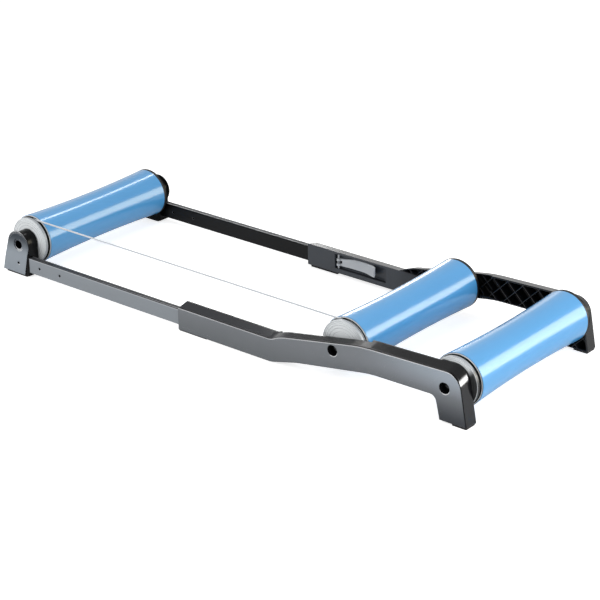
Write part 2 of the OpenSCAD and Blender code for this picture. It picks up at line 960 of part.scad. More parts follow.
module lever_pins() {
    color([0.60, 0.61, 0.63])
        both_sides()
            translate([pin_x, -pin_y, rail_z - 2])
                cylinder(r = pin_r, h = pin_top - rail_z + 2);
}

// A torsion spring: closed turns round the pin, with a short straight leg at each end
spring_sides = 6;
turn_steps = 16;
function spring_rings() =
    let (
        n = spring_turns * turn_steps,
        rise = turn_rise * spring_turns,
        station = function (i)
            let (k = min(max(i, 0), n), a = 360 * k / turn_steps, s = (i - k) * spring_leg)
            [spring_r * cos(a) - s * sin(a), spring_r * sin(a) + s * cos(a), rise * (k / n - 0.5), a]
    )
    [for (i = [-1 : n + 1])
        let (p = station(i))
        [for (j = [0 : spring_sides - 1])
            let (b = 360 * j / spring_sides)
            [p[0] + wire_r * cos(b) * cos(p[3]), p[1] + wire_r * cos(b) * sin(p[3]), p[2] + wire_r * sin(b)]]];

module spring() {
    rings = spring_rings();
    n = len(rings);
    points = [for (ring = rings) each ring];
    walls = [for (i = [0 : n - 2], j = [0 : spring_sides - 1])
        let (a = i * spring_sides + j, b = i * spring_sides + (j + 1) % spring_sides)
        each [[a, a + spring_sides, b + spring_sides], [a, b + spring_sides, b]]];
    ends = [
        [for (j = [0 : spring_sides - 1]) j],
        [for (j = [spring_sides - 1 : -1 : 0]) (n - 1) * spring_sides + j]
    ];
    polyhedron(points, concat(walls, ends));
}

module lever_springs() {
    color([0.72, 0.72, 0.74])
        both_sides()
            translate([pin_x, -pin_y, fork_z])
                rotate([0, 0, -90])
                    spring();
}

near_side_frame();
far_side_frame();
sleeve_pads();
leg_pads();
middle_axle();
rear_axle();
frame_axle_screws();
frame_axle_spacers();
lever_pins();
lever_springs();
drive_belt();
near_rail();
far_rail();
near_front_foot();
far_front_foot();
front_foot_pads();
front_axle();
front_axle_screws();
front_axle_spacers();
foot_bolts();
rail_plugs();
front_roller_tube();
front_belt_cap();
front_belt_ring();
front_far_cap();
front_near_bearing();
front_far_bearing();
middle_roller_tube();
middle_belt_cap();
middle_belt_ring();
middle_far_cap();
middle_near_bearing();
middle_far_bearing();
rear_roller_tube();
rear_belt_cap();
rear_belt_ring();
rear_far_cap();
rear_near_bearing();
rear_far_bearing();
near_lock_lever();
far_lock_lever();
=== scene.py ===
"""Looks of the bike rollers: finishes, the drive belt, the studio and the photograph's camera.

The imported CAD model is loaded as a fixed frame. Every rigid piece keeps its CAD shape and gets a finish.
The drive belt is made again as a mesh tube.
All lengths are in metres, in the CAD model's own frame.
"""

from __future__ import annotations

import logging
import math
from dataclasses import dataclass, field
from enum import Enum
from typing import ClassVar, Union

import bpy
from mathutils import Matrix, Vector

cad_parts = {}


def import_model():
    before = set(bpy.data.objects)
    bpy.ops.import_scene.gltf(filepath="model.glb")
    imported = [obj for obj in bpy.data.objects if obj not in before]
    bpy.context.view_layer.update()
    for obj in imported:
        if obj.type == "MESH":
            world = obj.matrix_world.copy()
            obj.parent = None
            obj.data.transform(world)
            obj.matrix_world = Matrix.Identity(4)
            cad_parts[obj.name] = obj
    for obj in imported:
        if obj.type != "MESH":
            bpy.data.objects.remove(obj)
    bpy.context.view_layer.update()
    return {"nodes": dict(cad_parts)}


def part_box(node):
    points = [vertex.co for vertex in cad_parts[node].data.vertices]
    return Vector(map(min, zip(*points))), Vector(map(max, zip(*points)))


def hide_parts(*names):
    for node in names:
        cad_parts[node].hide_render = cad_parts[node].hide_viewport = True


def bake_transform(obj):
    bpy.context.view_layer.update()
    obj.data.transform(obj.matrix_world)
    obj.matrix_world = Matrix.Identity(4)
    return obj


LOG = logging.getLogger("bike_rollers")

Colour = tuple[float, float, float, float]
Span = tuple[float, float]
Value = Union["Wire", float, int]

WHITE: Colour = (1.0, 1.0, 1.0, 1.0)
SCREEN_TOP = 255
SCREEN_KNEE = 0.04045
SCREEN_SLOPE = 12.92
SCREEN_OFFSET = 0.055
SCREEN_POWER = 2.4


def shade(red: float, green: float, blue: float) -> Colour:
    """Turns a colour as it looks on a screen into the linear colour that a shader takes.

    Args:
        red, green, blue: parts of the colour, from 0 to 255.

    Returns:
        The linear colour with full alpha.
    """
    def linear(part: float) -> float:
        """Takes the screen's gamma out of one part of the colour.

        Args:
            part: the part, from 0 to 255.

        Returns:
            The linear part, from 0 to 1.
        """
        share = part / SCREEN_TOP
        if share <= SCREEN_KNEE:
            return share / SCREEN_SLOPE
        return ((share + SCREEN_OFFSET) / (1 + SCREEN_OFFSET)) ** SCREEN_POWER

    return (linear(red), linear(green), linear(blue), 1.0)


class Slot(Enum):
    """The record's material slots that finishes are named after."""

    MOULDED = "moulded_frame"
    RAIL = "coated_rail"
    RUBBER = "rubber"
    AXLE = "axle_steel"
    SCREW = "screw_steel"
    BELT = "belt_plastic"
    BLACK = "black_plastic"
    LEVER = "lever_grey"


class Body(Enum):
    """The CAD bodies that pieces ride on."""

    REAR_FRAME = "rear_frame"
    FRONT_FRAME = "front_frame"


class Wire:
    """A node's output socket that takes part in Python expressions on numbers."""

    def __init__(self, graph: "Graph", node: bpy.types.Node, output: int | str = 0) -> None:
        """Keeps the node and which of its outputs is meant.

        Args:
            graph: the node tree that new nodes go into.
            node: the node that gives the value.
            output: name or place of the output socket.
        """
        self.graph = graph
        self.node = node
        self.output = output

    @property
    def socket(self) -> bpy.types.NodeSocket:
        """The output socket itself."""
        return self.node.outputs[self.output]

    def other(self, output: int | str) -> "Wire":
        """Another output of the same node."""
        return Wire(self.graph, self.node, output)

    def _math(self, operation: str, first: Value, second: Value = 0.0) -> "Wire":
        """A Math node on two values.

        Args:
            operation: the Math node's operation.
            first, second: wires or numbers.

        Returns:
            The node's result.
        """
        return self.graph.node("ShaderNodeMath", {"operation": operation}, {0: first, 1: second})

    def __add__(self, other: Value) -> "Wire":
        """Sum."""
        return self._math("ADD", self, other)

    def __radd__(self, other: Value) -> "Wire":
        """Sum with the wire on the right."""
        return self._math("ADD", other, self)

    def __sub__(self, other: Value) -> "Wire":
        """Difference."""
        return self._math("SUBTRACT", self, other)

    def __rsub__(self, other: Value) -> "Wire":
        """Difference with the wire on the right."""
        return self._math("SUBTRACT", other, self)

    def __mul__(self, other: Value) -> "Wire":
        """Product."""
        return self._math("MULTIPLY", self, other)

    def __rmul__(self, other: Value) -> "Wire":
        """Product with the wire on the right."""
        return self._math("MULTIPLY", other, self)

    def __truediv__(self, other: Value) -> "Wire":
        """Quotient."""
        return self._math("DIVIDE", self, other)

    def __rtruediv__(self, other: Value) -> "Wire":
        """Quotient with the wire on the right."""
        return self._math("DIVIDE", other, self)

    def __pow__(self, other: Value) -> "Wire":
        """Power."""
        return self._math("POWER", self, other)

    def __rpow__(self, other: Value) -> "Wire":
        """Power with the wire on the right."""
        return self._math("POWER", other, self)

    def __abs__(self) -> "Wire":
        """Size without the sign."""
        return self._math("ABSOLUTE", self)

    def sign(self) -> "Wire":
        """Minus one, zero or one."""
        return self._math("SIGN", self)

    def sine(self) -> "Wire":
        """Sine of an angle in radians."""
        return self._math("SINE", self)

    def least(self, other: Value) -> "Wire":
        """The smaller of two values."""
        return self._math("MINIMUM", self, other)

    def most(self, other: Value) -> "Wire":
        """The larger of two values."""
        return self._math("MAXIMUM", self, other)

    def rise(self, low: float, high: float) -> "Wire":
        """A smooth step from 0 at low to 1 at high; with low above high it falls instead.

        Args:
            low: value at which the result is 0.
            high: value at which the result is 1.

        Returns:
            The step.
        """
        settings = {"interpolation_type": "SMOOTHSTEP"}
        inputs = {"Value": self, "From Min": min(low, high), "From Max": max(low, high)}
        if low > high:
            inputs.update({"To Min": 1.0, "To Max": 0.0})
        return self.graph.node("ShaderNodeMapRange", settings, inputs)

    def waves(self, pitch: float) -> "Wire":
        """A wave between 0 and 1 that repeats at a pitch in metres."""
        return (self * (2 * math.pi / pitch)).sine() * 0.5 + 0.5


class Graph:
    """A node tree with one method that makes any node, and short names for nodes that finishes share.

    The sockets of the Mix node repeat their names, so they go by their place.
    """

    MIX_SHARE: ClassVar[int] = 0
    MIX_FIRST: ClassVar[int] = 6
    MIX_SECOND: ClassVar[int] = 7
    MIX_RESULT: ClassVar[int] = 2
    BEVEL_SAMPLES: ClassVar[int] = 8

    def __init__(self, tree: bpy.types.NodeTree) -> None:
        """Empties the tree.

        Args:
            tree: the node tree of a material or a world.
        """
        self.tree = tree
        self.tree.nodes.clear()

    @classmethod
    def of_material(cls, name: str) -> tuple["Graph", bpy.types.Material]:
        """A new material and its graph.

        Args:
            name: the material's name.

        Returns:
            The graph and the material.
        """
        material = bpy.data.materials.new(name)
        material.use_nodes = True
        return cls(material.node_tree), material

    def node(self, kind: str, settings: dict | None = None, inputs: dict | None = None,
             output: int | str = 0) -> Wire:
        """Makes one node.

        Args:
            kind: the node's type.
            settings: its properties, set first; "stops" are a colour ramp's places and colours.
            inputs: wires or constants for its sockets, by name or place.
            output: which output the result stands for.

        Returns:
            The wire of that output.
        """
        made = self.tree.nodes.new(kind)
        for key, value in (settings or {}).items():
            if key == "stops":
                self._set_stops(made.color_ramp, value)
            else:
                setattr(made, key, value)
        for key, value in (inputs or {}).items():
            if isinstance(value, Wire):
                self.tree.links.new(value.socket, made.inputs[key])
            else:
                made.inputs[key].default_value = value
        return Wire(self, made, output)

    @staticmethod
    def _set_stops(ramp: bpy.types.ColorRamp, stops: list[tuple[float, Colour]]) -> None:
        """Gives a colour ramp its stops.

        Args:
            ramp: the ramp, which has two stops when new.
            stops: places from 0 to 1 with their colours, in order.
        """
        for _ in range(len(stops) - 2):
            ramp.elements.new(0.5)
        for element, (place, colour) in zip(ramp.elements, stops):
            element.position = place
            element.color = colour

    def place(self) -> Wire:
        """The point's place on the resting object, in metres."""
        return self.node("ShaderNodeTexCoord", output="Object")

    def facing(self) -> Wire:
        """The surface's direction in the object's own axes."""
        return self.node("ShaderNodeTexCoord", output="Normal")

    def axes(self, vector: Wire) -> tuple[Wire, Wire, Wire]:
        """The three parts of a vector.

        Args:
            vector: the vector.

        Returns:
            Its parts along X, Y and Z.
        """
        parts = self.node("ShaderNodeSeparateXYZ", inputs={0: vector})
        return parts, parts.other(1), parts.other(2)

    def vector(self, x: Value, y: Value, z: Value) -> Wire:
        """A vector from three values."""
        return self.node("ShaderNodeCombineXYZ", inputs={0: x, 1: y, 2: z})

    def noise(self, scale: float, detail: float = 3.0, vector: Wire | None = None) -> Wire:
        """Cloudy noise between 0 and 1.

        Args:
            scale: how many clouds to a metre.
            detail: how many finer layers it has.
            vector: where to read it; the object's own place if left out.

        Returns:
            The noise.
        """
        inputs = {"Vector": vector or self.place(), "Scale": scale, "Detail": detail}
        return self.node("ShaderNodeTexNoise", inputs=inputs)

    def about(self, axle: Vector) -> tuple[Wire, Wire, Wire]:
        """Where a point lies about an axis that runs along Y.

        Args:
            axle: a point on the axis.

        Returns:
            How far it is behind the axis and above it, and its distance from the axis.
        """
        x, _, z = self.axes(self.place())
        across, up = x - axle.x, z - axle.z
        return across, up, (across * across + up * up) ** 0.5

    def blend(self, share: Value, first: Wire | Colour, second: Wire | Colour) -> Wire:
        """Mixes two colours.

        Args:
            share: 0 for the first colour, 1 for the second.
            first, second: the colours.

        Returns:
            The mixed colour.
        """
        inputs = {self.MIX_SHARE: share, self.MIX_FIRST: first, self.MIX_SECOND: second}
        return self.node("ShaderNodeMix", {"data_type": "RGBA"}, inputs, self.MIX_RESULT)

    def bump(self, height: Wire, depth: float, strength: float, normal: Wire | None = None) -> Wire:
        """A surface direction that a height pattern disturbs.

        Args:
            height: the pattern, from 0 to 1.
            depth: how deep the pattern is, in metres.
            strength: share of the full effect.
            normal: the direction before this pattern.

        Returns:
            The new direction.
        """
        inputs: dict = {"Height": height, "Distance": depth, "Strength": strength}
        if normal is not None:
            inputs["Normal"] = normal
        return self.node("ShaderNodeBump", inputs=inputs)

    def soft_edge(self, radius: float) -> Wire:
        """The surface direction with the edges rounded to a radius in metres."""
        return self.node("ShaderNodeBevel", {"samples": self.BEVEL_SAMPLES}, {"Radius": radius})

    def edge_mask(self, rounded: Wire, gain: float) -> Wire:
        """A mask of the edges, from how far rounding turns the surface's direction.

        Args:
            rounded: the direction with rounded edges.
            gain: how fast the mask rises.

        Returns:
            The mask, from 0 to 1.
        """
        true = self.node("ShaderNodeNewGeometry", output="Normal")
        settings = {"operation": "DOT_PRODUCT"}
        same = self.node("ShaderNodeVectorMath", settings, {0: rounded, 1: true}, output="Value")
        return ((1 - same) * gain).least(1.0).most(0.0)

    def surface(self, inputs: dict, matt: Wire | None = None,
                matt_colour: Colour | None = None) -> None:
        """Ends the material with a Principled shader.

        Args:
            inputs: wires or constants for the shader's sockets.
            matt: share of a surface without gloss, where there is one.
            matt_colour: the colour of that surface.
        """
        shader = self.node("ShaderNodeBsdfPrincipled", inputs=inputs)
        if matt is not None:
            dull = self.node("ShaderNodeBsdfDiffuse", inputs={"Color": matt_colour})
            shader = self.node("ShaderNodeMixShader", inputs={0: matt, 1: shader, 2: dull})
        self.node("ShaderNodeOutputMaterial", inputs={"Surface": shader})


@dataclass(frozen=True)
class TwoTone:
    """Which way a face looks: the outer faces of the frames and rails are paler than all the others.

    Each span says where one of the masks begins and where it is full, as a part of a direction.
    """

    FACE_LEAN: ClassVar[Span] = (0.6, 0.9)
    CORNER_LEAN: ClassVar[Span] = (0.12, 0.4)
    GLINT_LEAN: ClassVar[Span] = (0.9995, 0.985)
    GLINT_RISE: ClassVar[Span] = (0.1, 0.2)
    SHADE_LINE_START: ClassVar[Span] = (0.12, 0.35)
    SHADE_LINE_END: ClassVar[Span] = (0.985, 0.93)
    SHADE_LINE_REAR: ClassVar[Span] = (0.15, 0.3)

    outward: Wire
    rounded: Wire
    corner_shade: Wire
    glint: Wire
    lean: Wire
    rearward: Wire
    reach: Wire

    @classmethod
    def read(cls, graph: Graph, edge_radius: float, outer_face: float, rear_glint: float = 0.0,
             face_ramp: float = 0.004) -> "TwoTone":
        """Reads the faces and the rounded edges between them.

        Args:
            graph: the material's node tree.
            edge_radius: how far an edge is rounded.
            outer_face: how far from the middle the outer faces begin.
            rear_glint: share of the glint on edges that look to the rear, beside those that look up.
            face_ramp: over what depth the outer faces begin.

        Returns:
            Masks of the outer faces, of the painted shade on the rounded corners and of the painted glint
            beside them, and what the mask of the painted shade line on rearward edges is made of.
        """
        _, y, _ = graph.axes(graph.place())
        _, turned, _ = graph.axes(graph.facing())
        reach = abs(y).rise(outer_face - face_ramp, outer_face)
        outward = (turned * y.sign()).rise(*cls.FACE_LEAN) * reach
        rounded = graph.soft_edge(edge_radius)
        rearward, bent, raised = graph.axes(rounded)
        lean = bent * y.sign()
        # Painted shade on the rounded corners, and a painted highlight glinting along the upward edges.
        corner_shade = lean.rise(*cls.CORNER_LEAN) * (1 - outward) * reach
        lit = (raised + rearward * rear_glint).rise(*cls.GLINT_RISE)
        glint = lean.rise(*cls.GLINT_LEAN) * lit * outward
        return cls(outward, rounded, corner_shade, glint, lean, rearward, reach)

    def seam(self) -> Wire:
        """A mask of the painted shade line along edges that look to the rear.

        Returns:
            The mask, from 0 to 1.
        """
        edge = self.lean.rise(*self.SHADE_LINE_START) * self.lean.rise(*self.SHADE_LINE_END)
        return edge * self.rearward.rise(*self.SHADE_LINE_REAR) * self.reach


@dataclass(frozen=True)
class MouldedFinish:
    """Glass-filled plastic with a spark-eroded grain: bare near-black, with lacquered outer faces.

    The lacquer's tone changes with height and along X as painted light and shade, and a painted highlight
    makes it paler high up at the rear. The bare plastic has a painted sheen over the sleeve, paler on the
    sides than on the top; the rounded corners have painted shade and the upward edges a painted glint. A
    zone is a stretch along X in which a tone changes, and a share says how much of a tone shows. The
    sleeve's tones begin over sleeve_front and end over sleeve_rear.
    """

    bare: Colour = shade(15, 15, 17)
    bare_pale: Colour = shade(29, 30, 33)
    bare_share: float = 0.5
    scuff_range: Span = (0.6, 0.8)
    scuff_share: float = 0.15
    # Painted shade on rounded corners; also the colour of the painted shade line on rear edges.
    corner_shade: Colour = shade(4, 4, 5)
    # Painted sheen on the bare sleeve, paler on its sides than on its top.
    sleeve: Colour = shade(60, 64, 70)
    sleeve_top: Colour = shade(42, 44, 48)
    sleeve_front: Span = (-0.3, -0.2)
    sleeve_rear: Span = (0.26, 0.14)
    top_lean: Span = (0.5, 0.8)
    # Lower, front and high lacquer tones are painted shade, painted light and a painted highlight.
    lacquer: Colour = shade(126, 130, 135)
    lacquer_front_lighting: Colour = shade(109, 113, 117)
    lacquer_low_shade: Colour = shade(50, 54, 60)
    lacquer_highlight: Colour = shade(164, 174, 185)
    low_zone: Span = (0.25, 0.5)
    high_zone: Span = (0.36, 0.64)
    high_rise: Span = (0.055, 0.11)
    cloud_share: float = 0.12
    # Painted highlight: the glint along upward edges.
    glint: Colour = shade(238, 239, 241)
    glint_front: float = 0.75
    glint_zone: Span = (0.3, 0.5)
    edge_radius: float = 0.0042
    rear_glint: float = 0.0
    gloss: float = 0.42
    grain: float = 1500.0
    outer_face: float = 0.2415
    face_ramp: float = 0.004
    roughness: float = 0.18
    face_rough: float = 0.22
    corner_rough: float = 0.35
    cloud_rough: float = 0.08
    rear_smooth: float = 0.06
    smooth_zone: Span = (0.35, 0.5)

    def material(self, name: str, low: float, high: float) -> bpy.types.Material:
        """Makes the finish.

        Args:
            name: the material's name.
            low: height at which the lacquer has its lower tone of painted light and shade.
            high: height at which it has its middle tone, where that painted change ends.

        Returns:
            The material.
        """
        graph, made = Graph.of_material(name)
        x, _, z = graph.axes(graph.place())
        tone = TwoTone.read(graph, self.edge_radius, self.outer_face, self.rear_glint, self.face_ramp)
        # Painted light and shade change the lacquer with height; a painted highlight sits high at the
        # rear.
        lower = graph.blend(x.rise(*self.low_zone), self.lacquer_front_lighting, self.lacquer_low_shade)
        lacquer = graph.blend(z.rise(low, high), lower, self.lacquer)
        above = x.rise(*self.high_zone) * z.rise(*self.high_rise)
        lacquer = graph.blend(above, lacquer, self.lacquer_highlight)
        clouds = graph.noise(scale=14.0, detail=4.0)
        lacquer = graph.blend(clouds * self.cloud_share, lacquer, self.lacquer_low_shade)
        scuffs = graph.noise(scale=240.0, detail=4.0).rise(*self.scuff_range)
        wear = graph.noise(scale=60.0) * self.bare_share + scuffs * self.scuff_share
        bare = graph.blend(wear, self.bare, self.bare_pale)
        # Painted sheen over the sleeve's bare plastic, paler on the sides than on the top.
        _, _, upward = graph.axes(graph.facing())
        sleeve = graph.blend(upward.rise(*self.top_lean), self.sleeve, self.sleeve_top)
        bare = graph.blend(x.rise(*self.sleeve_rear) * x.rise(*self.sleeve_front), bare, sleeve)
        colour = graph.blend(tone.outward, bare, lacquer)
        # Painted shade on the rounded corners.
        colour = graph.blend(tone.corner_shade, colour, self.corner_shade)
        # Painted highlight: the glint, brighter towards the rear.
        shine = self.glint_front + x.rise(*self.glint_zone) * (1 - self.glint_front)
        colour = graph.blend(tone.glint * shine, colour, self.glint)
        grain = graph.noise(self.grain, detail=2.0)
        rough = self.roughness + tone.outward * self.face_rough + tone.corner_shade * self.corner_rough
        rough = rough + clouds * self.cloud_rough - x.rise(*self.smooth_zone) * self.rear_smooth
        # The painted shade line along rearward edges is a matt mix of the corner shade colour.
        graph.surface({
            "Base Color": colour, "Roughness": rough, "Specular IOR Level": self.gloss,
            "Normal": graph.bump(grain, depth=0.00004, strength=0.25, normal=tone.rounded),
        }, tone.seam(), self.corner_shade)
        return made


@dataclass(frozen=True)
class RailFinish:
    """Satin anodised aluminium with faint drawing lines along its length, dark but for the outer face."""

    dark: Colour = shade(8, 8, 9)
    dark_pale: Colour = shade(18, 19, 21)
    # Painted reflection: the paler tone of the rail's top faces.
    top: Colour = shade(72, 74, 77)
    top_lean: Span = (0.8, 0.95)
    top_start: float = 0.0006
    top_full: float = 0.0002
    face: Colour = shade(148, 154, 160)
    face_dim: Colour = shade(134, 139, 145)
    # Painted shade on the rounded corners.
    corner_shade: Colour = shade(14, 14, 16)
    # Painted highlight on the rounded edges and in the glint.
    glint: Colour = shade(196, 199, 203)
    glint_share: float = 0.7
    edge_sheen_share: float = 0.4
    edge_radius: float = 0.0018
    line_length: float = 0.25
    line_pitch: float = 0.0005
    streak_share: float = 0.4
    cloud_share: float = 0.3
    outer_face: float = 0.2412
    roughness: float = 0.3
    streak_rough: float = 0.12
    metallic: float = 0.15
    gloss: float = 0.25

    def material(self, rail_top: float) -> bpy.types.Material:
        """Makes the finish.

        Args:
            rail_top: height of the rails' top, above the floor of its groove.

        Returns:
            The material.
        """
        graph, made = Graph.of_material(Slot.RAIL.value)
        x, y, z = graph.axes(graph.place())
        tone = TwoTone.read(graph, self.edge_radius, self.outer_face)
        along = graph.vector(x * (1 / self.line_length), y / self.line_pitch, z / self.line_pitch)
        streaks = graph.noise(scale=1.0, detail=4.0, vector=along)
        clouds = graph.noise(scale=9.0)
        wear = streaks * self.streak_share + clouds * self.cloud_share
        dark = graph.blend(wear, self.dark, self.dark_pale)
        _, _, upward = graph.axes(graph.facing())
        # Painted reflection: the upward faces at the rail's top are paler.
        rim = upward.rise(*self.top_lean) * z.rise(rail_top - self.top_start, rail_top - self.top_full)
        dark = graph.blend(rim, dark, self.top)
        # Painted highlight: the rounded edges are paler.
        dark = graph.blend(graph.edge_mask(tone.rounded, gain=3.0) * self.edge_sheen_share, dark, self.glint)
        colour = graph.blend(tone.outward, dark, graph.blend(wear, self.face, self.face_dim))
        # Painted shade on the rounded corners, and a painted glint beside them.
        colour = graph.blend(tone.corner_shade, colour, self.corner_shade)
        colour = graph.blend(tone.glint * self.glint_share, colour, self.glint)
        graph.surface({
            "Base Color": colour, "Roughness": self.roughness + streaks * self.streak_rough,
            "Normal": graph.bump(streaks, depth=0.00002, strength=0.3, normal=tone.rounded),
            "Metallic": self.metallic, "Specular IOR Level": self.gloss,
        })
        return made


@dataclass(frozen=True)
class RubberFinish:
    """Soft black rubber with a fine dusty grain."""

    black: Colour = shade(22, 22, 23)
    dust: Colour = shade(40, 40, 39)
    dust_range: Span = (0.5, 0.75)
    roughness: float = 0.72
    dust_rough: float = 0.15
    edge_radius: float = 0.0008
    grain: float = 1800.0
    gloss: float = 0.35

    def material(self) -> bpy.types.Material:
        """Makes the finish.

        Returns:
            The material.
        """
        graph, made = Graph.of_material(Slot.RUBBER.value)
        dust = graph.noise(scale=420.0, detail=4.0).rise(*self.dust_range)
        stops = [(0.0, self.black), (1.0, self.dust)]
        colour = graph.node("ShaderNodeValToRGB", {"stops": stops}, {0: dust})
        rounded = graph.soft_edge(self.edge_radius)
        grain = graph.noise(self.grain, detail=2.0)
        graph.surface({
            "Base Color": colour, "Roughness": self.roughness + dust * self.dust_rough,
            "Normal": graph.bump(grain, depth=0.00008, strength=0.5, normal=rounded),
            "Specular IOR Level": self.gloss,
        })
        return made


@dataclass(frozen=True)
class SteelFinish:
    """Bright steel with the fine lines of turning or grinding across it."""

    slot: Slot
    steel: Colour = shade(196, 198, 202)
    shadow: Colour = shade(136, 138, 143)
    stain_share: float = 0.45
    roughness: float = 0.28
    line_rough: float = 0.14
    edge_radius: float = 0.0004
    line_pitch: float = 0.0003
    around_scale: float = 90.0
    metallic: float = 0.9

    def material(self) -> bpy.types.Material:
        """Makes the finish.

        Returns:
            The material.
        """
        graph, made = Graph.of_material(self.slot.value)
        x, y, z = graph.axes(graph.place())
        across = graph.vector(x * self.around_scale, y / self.line_pitch, z * self.around_scale)
        lines = graph.noise(scale=1.0, vector=across)
        stain = graph.noise(scale=55.0, detail=4.0)
        rounded = graph.soft_edge(self.edge_radius)
        graph.surface({
            "Base Color": graph.blend(stain * self.stain_share, self.steel, self.shadow),
            "Roughness": self.roughness + lines * self.line_rough, "Metallic": self.metallic,
            "Normal": graph.bump(lines, depth=0.00002, strength=0.35, normal=rounded),
        })
        return made


@dataclass(frozen=True)
class RollerFinish:
    """Glossy blue tube, clear coated, with the faint rings that turning leaves and a black lip."""

    blue: Colour = shade(88, 163, 220)
    deep: Colour = shade(73, 153, 210)
    cloud_share: float = 0.5
    ring_share: float = 0.15
    speck: Colour = shade(220, 235, 245)
    speck_range: Span = (0.68, 0.8)
    speck_share: float = 0.08
    lip: Colour = shade(12, 12, 13)
    lip_width: float = 0.005
    lip_edge: float = 0.0002
    lip_rough: float = 0.4
    ring_pitch: float = 0.0009
    ring_rough: float = 0.05
    around_scale: float = 6.0
    roughness: float = 0.19
    gloss: float = 0.5
    coat: float = 0.35
    coat_rough: float = 0.06

    def material(self, name: str, axle: Vector, far_end: float) -> bpy.types.Material:
        """Makes the finish for one roller.

        Args:
            name: the material's name.
            axle: a point on the roller's axis.
            far_end: where the tube ends on the far side, with the lip.

        Returns:
            The material.
        """
        graph, made = Graph.of_material(name)
        x, y, z = graph.axes(graph.place())
        across, up = (x - axle.x) * self.around_scale, (z - axle.z) * self.around_scale
        turned = graph.vector(across, y / self.ring_pitch, up)
        rings = graph.noise(scale=1.0, detail=2.0, vector=turned)
        clouds = graph.noise(scale=7.0)
        colour = graph.blend(clouds * self.cloud_share + rings * self.ring_share, self.blue, self.deep)
        specks = graph.noise(scale=900.0, detail=2.0).rise(*self.speck_range)
        colour = graph.blend(specks * self.speck_share, colour, self.speck)
        lip_start = far_end - self.lip_width
        lip = y.rise(lip_start - self.lip_edge, lip_start)
        graph.surface({
            "Base Color": graph.blend(lip, colour, self.lip),
            "Roughness": self.roughness + rings * self.ring_rough + lip * self.lip_rough,
            "Normal": graph.bump(rings, depth=0.00001, strength=0.25), "Specular IOR Level": self.gloss,
            "Coat Weight": self.coat - lip * self.coat, "Coat Roughness": self.coat_rough,
        })
        return made


@dataclass(frozen=True)
class CapFinish:
    """Moulded plastic end cap with fine turned rings, cloudy tones and a darker side."""

    face: Colour = shade(249, 253, 255)
    groove: Colour = shade(223, 229, 233)
    side: Colour = shade(166, 171, 176)
    flat_lean: Span = (0.6, 0.9)
    ring_share: float = 0.13
    cloud_share: float = 0.12
    edge_darkening_share: float = 0.18
    roughness: float = 0.36
    cloud_rough: float = 0.08
    ring_pitch: float = 0.0032
    rim_radius: float = 0.0546
    rim_edge: float = 0.0004
    shadow_zone: Span = (-0.01, 0.018)
    shadow_share: float = 0.97
    edge_radius: float = 0.0007
    gloss: float = 0.4

    def material(self, name: str, axle: Vector, shadow: Colour | None = None) -> bpy.types.Material:
        """Makes the finish for one cap.

        Args:
            name: the material's name.
            axle: a point on the roller's axis.
            shadow: the colour of the leg's painted shadow on the face's lower rear part, where there is
                one.

        Returns:
            The material.
        """
        graph, made = Graph.of_material(name)
        across, up, radius = graph.about(axle)
        rings = radius.waves(self.ring_pitch)
        clouds = graph.noise(scale=26.0)
        colour = graph.blend(rings * self.ring_share + clouds * self.cloud_share, self.face, self.groove)
        _, turned, _ = graph.axes(graph.facing())
        flat = abs(turned).rise(*self.flat_lean)
        colour = graph.blend(1 - flat, colour, self.side)
        # Painted shadow of the leg on the lower rear part of the face; only the thin rim stays pale.
        if shadow is not None:
            rim = radius.rise(self.rim_radius - self.rim_edge, self.rim_radius) * flat
            shaded = (across - up).rise(*self.shadow_zone) * (1 - rim) * self.shadow_share
            colour = graph.blend(shaded, colour, shadow)
        rounded = graph.soft_edge(self.edge_radius)
        # The edges are a little darker, towards the groove's tone.
        edge_darkening = graph.edge_mask(rounded, gain=1.6)
        colour = graph.blend(edge_darkening * self.edge_darkening_share, colour, self.groove)
        graph.surface({
            "Base Color": colour, "Roughness": self.roughness + clouds * self.cloud_rough,
            "Normal": graph.bump(rings, depth=0.00004, strength=0.3, normal=rounded),
            "Specular IOR Level": self.gloss,
        })
        return made


@dataclass(frozen=True)
class BeltFinish:
    """Round white drive cord of polyurethane, slightly waxy."""

    white: Colour = shade(216, 220, 224)
    shadow: Colour = shade(188, 193, 199)
    cloud_share: float = 0.4
    roughness: float = 0.38
    cloud_rough: float = 0.1
    gloss: float = 0.2

    def material(self) -> bpy.types.Material:
        """Makes the finish.

        Returns:
            The material.
        """
        graph, made = Graph.of_material(Slot.BELT.value)
        clouds = graph.noise(scale=160.0)
        graph.surface({
            "Base Color": graph.blend(clouds * self.cloud_share, self.white, self.shadow),
            "Roughness": self.roughness + clouds * self.cloud_rough, "Specular IOR Level": self.gloss,
            "Normal": graph.bump(graph.noise(scale=700.0, detail=2.0), depth=0.00004, strength=0.4),
        })
        return made


